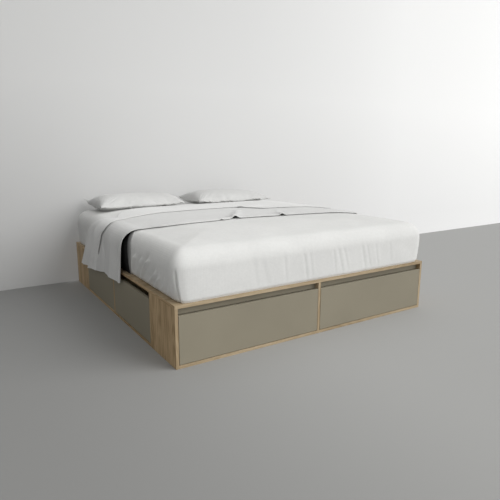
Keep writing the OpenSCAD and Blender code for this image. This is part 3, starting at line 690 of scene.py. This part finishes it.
def drapePoint(layer, s, t):
    # outer surface without its folds: side, section place, point, and distance from the front edge
    side, r = (-1 if s < 0 else 1), abs(s)
    y, inward = layerY(layer, s, t)
    level = layer["level"] + layer["thickness"]
    reach = mattress["shoulder"] + drape["gap"] + layer["out"] + layer["thickness"]
    if r < 1:
        x, z = drape["shoulderX"] * r, crownZ(drape["shoulderX"] * r) + level
    elif r < 1.5:
        angle = math.pi * (r - 1)
        drop = drape["shoulderTop"] + level - drape["splitZ"]
        x = drape["shoulderX"] + reach * math.sin(angle) ** drape["bulge"]
        z = drape["splitZ"] + drop * max(math.cos(angle), 0) ** drape["bulge"]
    else:
        x = drape["shoulderX"] + reach
        z = mix(drape["splitZ"], curveAt(layer["hem"], y + footFace), 2 * r - 3)
    return side, r, x, y, z, inward


def foldedPoint(layer, s, t):
    # the same with the folds of the drop and the front edge curled in
    side, r, x, y, z, inward = drapePoint(layer, s, t)
    start, over = layer["hang"]
    hang = ease((r - start) / over)
    rise = foldRise(layer["folds"], r, y + (layer["shiftRight"] if side > 0 else 0))
    if layer["rearFade"]:
        rise *= ease((rearY(layer["rear"], r) - footFace - y) / layer["rearFade"])
    x += hang * rise
    sway, size, seed = layer["sway"]
    depth, width = layer["curl"]
    x += sway * hang * wobble(x, y, z, size, side + seed) - depth * hang * bell(inward, width)
    return side, r, x, y, z, inward


def topShare(r):
    start, over = drape["topEnds"]
    return 1 - ease((r - start) / over)


def lipHeight(layer, inward):
    # the sewn front edge stands up a little
    height, width = layer["lip"]
    lift, over = layer["edgeLift"]
    return height * bell(inward - 0.030, width) + lift * (1 - ease(inward / over))


def swellHeight(layer, x, y):
    level, rise, size, seed = layer["swell"]
    return level + rise * wobble(x, y, 0, size, seed)


def coverletPoint(layer, s, t):
    side, r, x, y, z, inward = foldedPoint(layer, s, t)
    underSheet = ease((y + footFace - curveAt(topSheet["left"], r) + 0.07) / 0.06) * ease((1.90 - r) / 0.25)
    x = side * (x - layer["underSheet"] * ease((r - 1.05) / 0.2) * underSheet)
    rise = lipHeight(layer, inward) + creaseHeight(x, y, layer["creases"])
    rise += swellHeight(layer, x, y) * ease(inward / layer["edgeLift"][1])
    for tunnelX, width, height, length in layer["tunnels"]:
        rise += height * bell(x - tunnelX, width) * bell(inward, length)
    return Vector((x, y, z + topShare(r) * rise))


def sheetPoint(layer, s, t):
    side, r, x, y, z, inward = foldedPoint(layer, s, t)
    x *= side
    before, over, step = layer["behindCoverlet"]
    onCoverlet = ease((rearY(layer["rear"], r) - before - (y + footFace)) / over)
    rise = lipHeight(layer, inward) - step * (1 - onCoverlet)
    rise += (creaseHeight(x, y, layer["creases"]) + swellHeight(layer, x, y)) * onCoverlet
    return Vector((x, y, z + topShare(r) * rise))


def layerGrid(layer, name, material, pointAt, sRange, columns, yRange=(0, 3)):
    # one stretch of a layer, between two section places and two distances from the foot face
    bm = bmesh.new()
    bmesh.ops.create_grid(bm, x_segments=columns, y_segments=drape["rows"], size=1.0)
    for vert in bm.verts:
        s = mix(sRange[0], sRange[1], (vert.co.x + 1) / 2)
        t = (vert.co.y + 1) / 2
        front, rear = (layerY(layer, s, end)[0] + footFace for end in (0, 1))
        y = mix(max(front, yRange[0]), min(rear, yRange[1]), mix(t, t * t, drape["crowded"]))
        vert.co = pointAt(layer, s, (y - front) / (rear - front))
    bmesh.ops.recalc_face_normals(bm, faces=bm.faces)
    heart = Vector((0, sum(vert.co.y for vert in bm.verts) / len(bm.verts), 0.3))
    if sum(face.normal.dot(face.calc_center_median() - heart) for face in bm.faces) < 0:
        bmesh.ops.reverse_faces(bm, faces=bm.faces)
    bmesh.ops.solidify(bm, geom=bm.faces[:], thickness=layer["thickness"])
    piece = finishPiece(bm, name, material, sharpAngle=0.8)
    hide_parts(layer["node"])
    return piece


def buildLayer(layer, material, pointAt):
    top = layerGrid(layer, layer["name"], material, pointAt, (-1.5, 1.5), drape["topColumns"])
    for label, yRange, joint, keep in layer["drops"]:
        for side, sRange in (("left", (-2, -1.5)), ("right", (1.5, 2))):
            name = layer["name"] + label + side.capitalize()
            drop = layerGrid(layer, name, material, pointAt, sRange, drape["dropColumns"], yRange)
            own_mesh(drop)


def blanketPoint(s, t):
    side, r = (-1 if s < 0 else 1), abs(s)
    gap = blanket["level"] + blanket["thickness"]
    shoulder, turnEnd = mattress["shoulder"], 1 + blanket["turn"]
    nx, nz = 0.0, 1.0
    if r < 1:
        x = drape["shoulderX"] * r
        z = crownZ(x)
    elif r < turnEnd:
        angle = (r - 1) / blanket["turn"] * math.pi / 2
        nx, nz = math.sin(angle), math.cos(angle)
        x = drape["shoulderX"] + shoulder * nx
        z = drape["shoulderTop"] - shoulder * (1 - nz)
    else:
        share = (r - turnEnd) / (2 - turnEnd)
        nx, nz = 1.0, 0.0
        x = mattress["halfWidth"] - mattress["sideDrawIn"][0] * share * share
        z = mix(drape["shoulderTop"] - shoulder, mattress["bottom"], share)
    y = layerY(blanket, s, t)[0]
    sway, size, seed = blanket["edgeSway"]
    y += (1 - t) * sway * wobble(x * side, 0, z, size, seed)
    return Vector((side * (x + gap * nx), y, z + gap * nz))


def buildBlanket():
    bm = bmesh.new()
    columns, rows = blanket["cuts"]
    bmesh.ops.create_grid(bm, x_segments=columns, y_segments=rows, size=1.0)
    fromEdge = bm.verts.layers.float.new("fromEdge")
    for vert in bm.verts:
        s, t = 2 * vert.co.x, (vert.co.y + 1) / 2
        t = mix(t, t * t, blanket["crowded"])
        vert[fromEdge] = min(layerY(blanket, s, t)[1] / curveAt(blanket["shadeBandWidth"], abs(s)), 1.5)
        vert.co = blanketPoint(s, t)
    bmesh.ops.recalc_face_normals(bm, faces=bm.faces)
    if sum(face.normal.z for face in bm.faces) < 0:
        bmesh.ops.reverse_faces(bm, faces=bm.faces)
    bmesh.ops.solidify(bm, geom=bm.faces[:], thickness=blanket["thickness"])
    piece = finishPiece(bm, "darkBlanket", blanketWoolAndShade, sharpAngle=0.8)
    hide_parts("blanket")


buildBlanket()
buildLayer(coverlet, coverletCotton, coverletPoint)
buildLayer(topSheet, sheetCotton, sheetPoint)
print("bedding draped")


pillows = {
    # x at the middle, width, how far the corners turn up (front left, front right, rear left, rear right),
    # then how the section closes towards its left and right ends and how much the top slopes down
    # to the right
    "pillow_left": (-0.5145, 0.745, (0.010, 0.012, 0.050, 0.016), (6.5, 0.42), (9.0, 0.42), 0.06),
    "pillow_right": (0.380, 0.800, (0.010, 0.010, 0.030, 0.012), (6.5, 0.45), (4.5, 0.55), 0.17),
}
pillow = {
    "middleY": 0.793, "depth": 0.470, "crest": 0.112, "close": (2.6, 0.60), "slopeFrom": (-0.2, 0.9),
    "bottom": (0.45, 0.38),  # crown where the underside leaves the mattress, and over how much
    "seam": 0.0155, "drawIn": 0.009, "wave": 0.0110, "waveSize": 0.040, "sag": 0.25, "cornerPower": 5,
    "cord": 0.0016, "cordPoints": 420, "columns": 100, "rows": 60, "over": 0.0008,
    "voxel": 0.006, "pressure": 4.0, "frames": 20, "cap": 0.014, "smaller": 0.009, "pinned": 0.010,
}


def groundZ(x, y):
    # the underside of a pillow, just over the bedding
    return mattress["top"] - crownDrop(x, y) + pillow["over"]


def seamPoint(name, su, sv, grow):
    middleX, width, corners = pillows[name][:3]
    x = middleX + (width / 2 + grow - pillow["drawIn"] * (1 - sv ** 4)) * su
    y = pillow["middleY"] + (pillow["depth"] / 2 + grow - pillow["drawIn"] * (1 - su ** 4)) * sv
    corner = corners[(1 if su > 0 else 0) + (2 if sv > 0 else 0)] * abs(su * sv) ** pillow["cornerPower"]
    wave = pillow["wave"] * wobble(x, y, 0, pillow["waveSize"], middleX)
    return Vector((x, y, mattress["top"] + pillow["seam"] - pillow["sag"] * crownDrop(x, y) + corner + wave))


def rounded(place):
    return math.sin(place * math.pi / 2)


def pillowPoint(name, u, v, upper, grow):
    leftEnd, rightEnd, slope = pillows[name][3:]
    su, sv = rounded(u), rounded(v)
    point = seamPoint(name, su, sv, grow)
    power, blunt = rightEnd if su > 0 else leftEnd
    endPower, endBlunt = pillow["close"]
    crown = (1 - abs(su) ** power) ** blunt * (1 - abs(sv) ** endPower) ** endBlunt
    start, over = pillow["slopeFrom"]
    crown *= 1 - slope * ease((su - start) / over)
    if upper:
        point.z = mix(point.z, mattress["top"] + pillow["crest"] + grow, crown)
    else:
        start, over = pillow["bottom"]
        point.z = mix(point.z, groundZ(point.x, point.y), ease((crown - start) / over))
    return point


def pillowShell(name, grow):
    bm = bmesh.new()
    for upper in (True, False):
        made = bmesh.ops.create_grid(bm, x_segments=pillow["columns"], y_segments=pillow["rows"], size=1.0)
        for vert in made["verts"]:
            vert.co = pillowPoint(name, vert.co.x, vert.co.y, upper, grow)
    bmesh.ops.remove_doubles(bm, verts=bm.verts, dist=0.0004)
    bmesh.ops.recalc_face_normals(bm, faces=bm.faces)
    return bm


def settledShape(piece):
    return bpy.data.meshes.new_from_object(piece.evaluated_get(bpy.context.evaluated_depsgraph_get()))


def puffedMesh(bm, name):
    # remesh, blow up with cloth pressure while the seam is held, and cap how far each point travels
    mesh = bpy.data.meshes.new(name)
    bm.to_mesh(mesh)
    bm.free()
    puffed = bpy.data.objects.new(name, mesh)
    scene.collection.objects.link(puffed)
    remesh = puffed.modifiers.new("even", "REMESH")
    remesh.mode = "VOXEL"
    remesh.voxel_size = pillow["voxel"]
    even = settledShape(puffed)
    puffed.modifiers.clear()
    puffed.data = even
    start = [vert.co.copy() for vert in even.vertices]
    held = puffed.vertex_groups.new(name="held")
    middleX, width = pillows[name][:2]
    for index, co in enumerate(start):
        inset = min(width / 2 - abs(co.x - middleX), pillow["depth"] / 2 - abs(co.y - pillow["middleY"]))
        if inset < pillow["pinned"] + pillow["smaller"]:
            held.add([index], 1.0, "REPLACE")
    cloth = puffed.modifiers.new("puff", "CLOTH")
    cloth.settings.use_pressure = True
    cloth.settings.uniform_pressure_force = pillow["pressure"]
    cloth.settings.effector_weights.gravity = 0
    cloth.settings.vertex_group_mass = "held"
    cloth.point_cache.frame_start = 1
    cloth.point_cache.frame_end = pillow["frames"]
    for number in range(1, pillow["frames"] + 1):
        scene.frame_set(number)
    blown = settledShape(puffed)
    for vert, before in zip(blown.vertices, start):
        travel = vert.co - before
        if travel.length > pillow["cap"]:
            vert.co = before + travel * (pillow["cap"] / travel.length)
    scene.frame_set(1)
    bpy.data.objects.remove(puffed)
    result = bmesh.new()
    result.from_mesh(blown)
    return result


def addSeamCord(bm, name):
    # a fine cord sewn round the pillow, laid on the puffed cloth
    tree = BVHTree.FromBMesh(bm)
    line = bpy.data.curves.new(name + "Cord", "CURVE")
    line.dimensions = "3D"
    line.bevel_depth = pillow["cord"]
    line.bevel_resolution = 2
    spline = line.splines.new("POLY")
    count = pillow["cordPoints"]
    spline.points.add(count - 1)
    middle = Vector((pillows[name][0], pillow["middleY"], 0))
    for index in range(count):
        place = 4 * index / count
        edge, along = int(place), 2 * (place - int(place)) - 1
        su, sv = ((along, -1), (1, along), (-along, 1), (-1, -along))[edge]
        point = seamPoint(name, rounded(su), rounded(sv), 0.0)
        outward = ((point - middle) * Vector((1, 1, 0))).normalized()
        found = tree.ray_cast(point - 0.05 * outward, outward, 0.12)[0]
        spline.points[index].co = (*(found or point), 1)
    spline.use_cyclic_u = True
    cord = bpy.data.objects.new(name + "Cord", line)
    scene.collection.objects.link(cord)
    bm.from_mesh(settledShape(cord))
    bpy.data.objects.remove(cord)


def buildPillow(node, name):
    bm = puffedMesh(pillowShell(node, -pillow["smaller"]), node)
    for vert in bm.verts:
        vert.co.z = max(vert.co.z, groundZ(vert.co.x, vert.co.y))
    bmesh.ops.subdivide_edges(bm, edges=bm.edges, cuts=1, use_grid_fill=True, smooth=1.0)
    addSeamCord(bm, node)
    piece = finishPiece(bm, name, pillowCotton)
    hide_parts(node)


for node, name in (("pillow_left", "pillowLeft"), ("pillow_right", "pillowRight")):
    buildPillow(node, name)
    print(name, "made")


stageLook = {
    "size": 40.0, "below": 0.0005,
    "floor": (0.412, 0.412, 0.404), "floorShade": 0.655, "floorShadeX": (-1.9, 0.1), "floorRoughness": 0.9,
    "wall": (0.645, 0.645, 0.64), "wallShade": 0.80, "wallShadeZ": (0.30, 1.70), "wallRoughness": 0.95,
    "wallY": 1.065,
    "wallPaintedLight": ((-1.6, 0.0), (0.8, 0.15), (3.1, 0.34), (5.3, 0.42)),  # painted light on the wall, brighter to the right: x and strength
    "flag": ((-1.95, 1.075, 0.62), 0.89),  # middle and half size
    # skies: colour, direction of the bright side, level and its change, lowest, highest, dimming at low left
    "light": ((1.0, 1.0, 0.985), (0.74, -0.28, 0.61), 0.400, 0.37, 0.05, 1.0, 0.80),
    "seen": ((1.0, 1.0, 0.975), (1, 0, 0), 0.43, 0.50, 0.20, 0.92, 0.0),
    "dimSide": (-0.10, -0.70), "dimRise": (0.0, 0.42),
    # each lamp: strength, spread in degrees, direction of its light
    "lamps": {"studioKey": (1.82, 50, (-0.60, 0.60, -0.535)), "studioFill": (0.36, 40, (0.62, 0.66, -0.42))},
}


def stagePlane(name, size, place, upright=True):
    bm = bmesh.new()
    turn = Matrix.Rotation(math.pi / 2 if upright else 0, 4, "X")
    bmesh.ops.create_grid(bm, x_segments=2, y_segments=2, size=size, matrix=Matrix.Translation(place) @ turn)
    mesh = bpy.data.meshes.new(name)
    bm.to_mesh(mesh)
    bm.free()
    plane = bpy.data.objects.new(name, mesh)
    scene.collection.objects.link(plane)
    return plane


def shaded(colour, share):
    return tuple(share * part for part in colour)


def seenShare(graph):
    # 1 for what shows straight, in a reflection or through something, and 0 for light that falls
    # on the object
    path = graph.add("ShaderNodeLightPath").outputs
    reflected = graph.math("MAXIMUM", path["Is Camera Ray"], path["Is Glossy Ray"])
    return graph.math("MAXIMUM", reflected, path["Is Transmission Ray"])


def buildFloor():
    look = stageLook
    floor = stagePlane("studioFloor", look["size"], (0, 0, -look["below"]), upright=False)
    graph = newGraph("studioFloor")
    # painted shade: the floor is darker towards the left
    fade = graph.span(graph.apart(graph.coordinates())["X"], *look["floorShadeX"], kind="SMOOTHSTEP")
    colour = graph.blend(fade, shaded(look["floor"], look["floorShade"]), look["floor"])
    floor.data.materials.append(graph.finish(colour, look["floorRoughness"]))


def buildWall():
    # a wall just behind the head panel, seen only from its front, with painted light that brightens it to the
    # right and painted shade that darkens it lower down
    look = stageLook
    wall = stagePlane("studioWall", look["size"], (0, look["wallY"], look["size"] - look["below"]))
    wall.visible_diffuse = wall.visible_shadow = False
    graph = newGraph("studioWall")
    where = graph.apart(graph.coordinates())
    low, high = look["wallPaintedLight"][0][0], look["wallPaintedLight"][-1][0]
    stops = [((x - low) / (high - low), (light,) * 3) for x, light in look["wallPaintedLight"]]
    paintedLight = graph.ramp(graph.span(where["X"], low, high), stops)
    # painted shade: the wall is darker lower down
    rise = graph.span(where["Z"], *look["wallShadeZ"])
    colour = graph.blend(rise, shaded(look["wall"], look["wallShade"]), look["wall"])
    graph.finish(colour, look["wallRoughness"], Specular_IOR_Level=0)
    # painted light: a glow seen straight and in reflections, stronger to the right
    graph.feed(paintedLight, graph.shader.inputs["Emission Color"])
    graph.feed(seenShare(graph), graph.shader.inputs["Emission Strength"])
    behind = graph.add("ShaderNodeNewGeometry").outputs["Backfacing"]
    clear = graph.add("ShaderNodeBsdfTransparent").outputs["BSDF"]
    surface = graph.either(behind, graph.shader.outputs["BSDF"], clear)
    graph.feed(surface, graph.tree.nodes["Material Output"].inputs["Surface"])
    wall.data.materials.append(graph.owner)


def buildFlag():
    # a black flag beside the head end keeps light off the far left
    place, size = stageLook["flag"]
    flag = stagePlane("studioFlag", size, place)
    flag.visible_camera = flag.visible_glossy = flag.visible_transmission = False
    flag.data.materials.append(newGraph("studioFlag").finish((0.02, 0.02, 0.02), 1.0))


def skyLight(graph, colour, towards, level, turn, low, high, dim):
    # a sky that brightens towards one side of the room, with a dimmer low left
    direction = graph.coordinates("Generated")
    dot = graph.add("ShaderNodeVectorMath", operation="DOT_PRODUCT")
    dot.inputs[1].default_value = Vector(towards).normalized()
    graph.feed(direction, dot.inputs[0])
    limit = graph.add("ShaderNodeClamp")
    limit.inputs["Min"].default_value, limit.inputs["Max"].default_value = low, high
    graph.feed(graph.span(dot.outputs["Value"], -1, 1, level - turn, level + turn), limit.inputs["Value"])
    where = graph.apart(direction)
    leftSide = graph.span(where["X"], *stageLook["dimSide"])
    lowDown = graph.span(where["Z"], *stageLook["dimRise"], 1, 0)
    kept = graph.span(graph.math("MULTIPLY", leftSide, lowDown), 0, 1, 1, 1 - dim)
    sky = graph.add("ShaderNodeBackground")
    graph.feed(colour, sky.inputs["Color"])
    graph.feed(graph.math("MULTIPLY", limit.outputs["Result"], kept), sky.inputs["Strength"])
    return sky.outputs["Background"]


def buildLight():
    scene.world = bpy.data.worlds.new("studioWorld")
    graph = Graph(scene.world)
    light, seen = (skyLight(graph, *stageLook[key]) for key in ("light", "seen"))
    graph.feed(graph.either(seenShare(graph), light, seen),
               graph.tree.nodes["World Output"].inputs["Surface"])
    for name, (strength, spread, towards) in stageLook["lamps"].items():
        lamp = bpy.data.lights.new(name, "SUN")
        lamp.energy = strength
        lamp.angle = math.radians(spread)
        holder = bpy.data.objects.new(name, lamp)
        scene.collection.objects.link(holder)
        holder.rotation_mode = "QUATERNION"
        holder.rotation_quaternion = Vector(towards).to_track_quat("-Z", "Y")


cameraFit = {
    # metres, degrees, and millimetres of lens on a 36 mm sensor
    "place": (-1.908, -3.194, 1.124), "yaw": 32.85, "pitch": 11.68, "roll": 0.21, "lens": 34.19, "sensor": 36,
}


def buildCamera():
    data = bpy.data.cameras.new("studioCamera")
    data.sensor_width = cameraFit["sensor"]
    data.lens = cameraFit["lens"]
    camera = bpy.data.objects.new("studioCamera", data)
    scene.collection.objects.link(camera)
    yaw, pitch = math.radians(cameraFit["yaw"]), math.radians(cameraFit["pitch"])
    ahead = Vector((math.sin(yaw) * math.cos(pitch), math.cos(yaw) * math.cos(pitch), -math.sin(pitch)))
    turn = ahead.to_track_quat("-Z", "Y").to_matrix().to_4x4()
    camera.matrix_world = (Matrix.Translation(cameraFit["place"]) @ turn
                           @ Matrix.Rotation(math.radians(cameraFit["roll"]), 4, "Z"))
    scene.camera = camera


buildFloor()
buildWall()
buildFlag()
buildLight()
buildCamera()
print("stage ready")
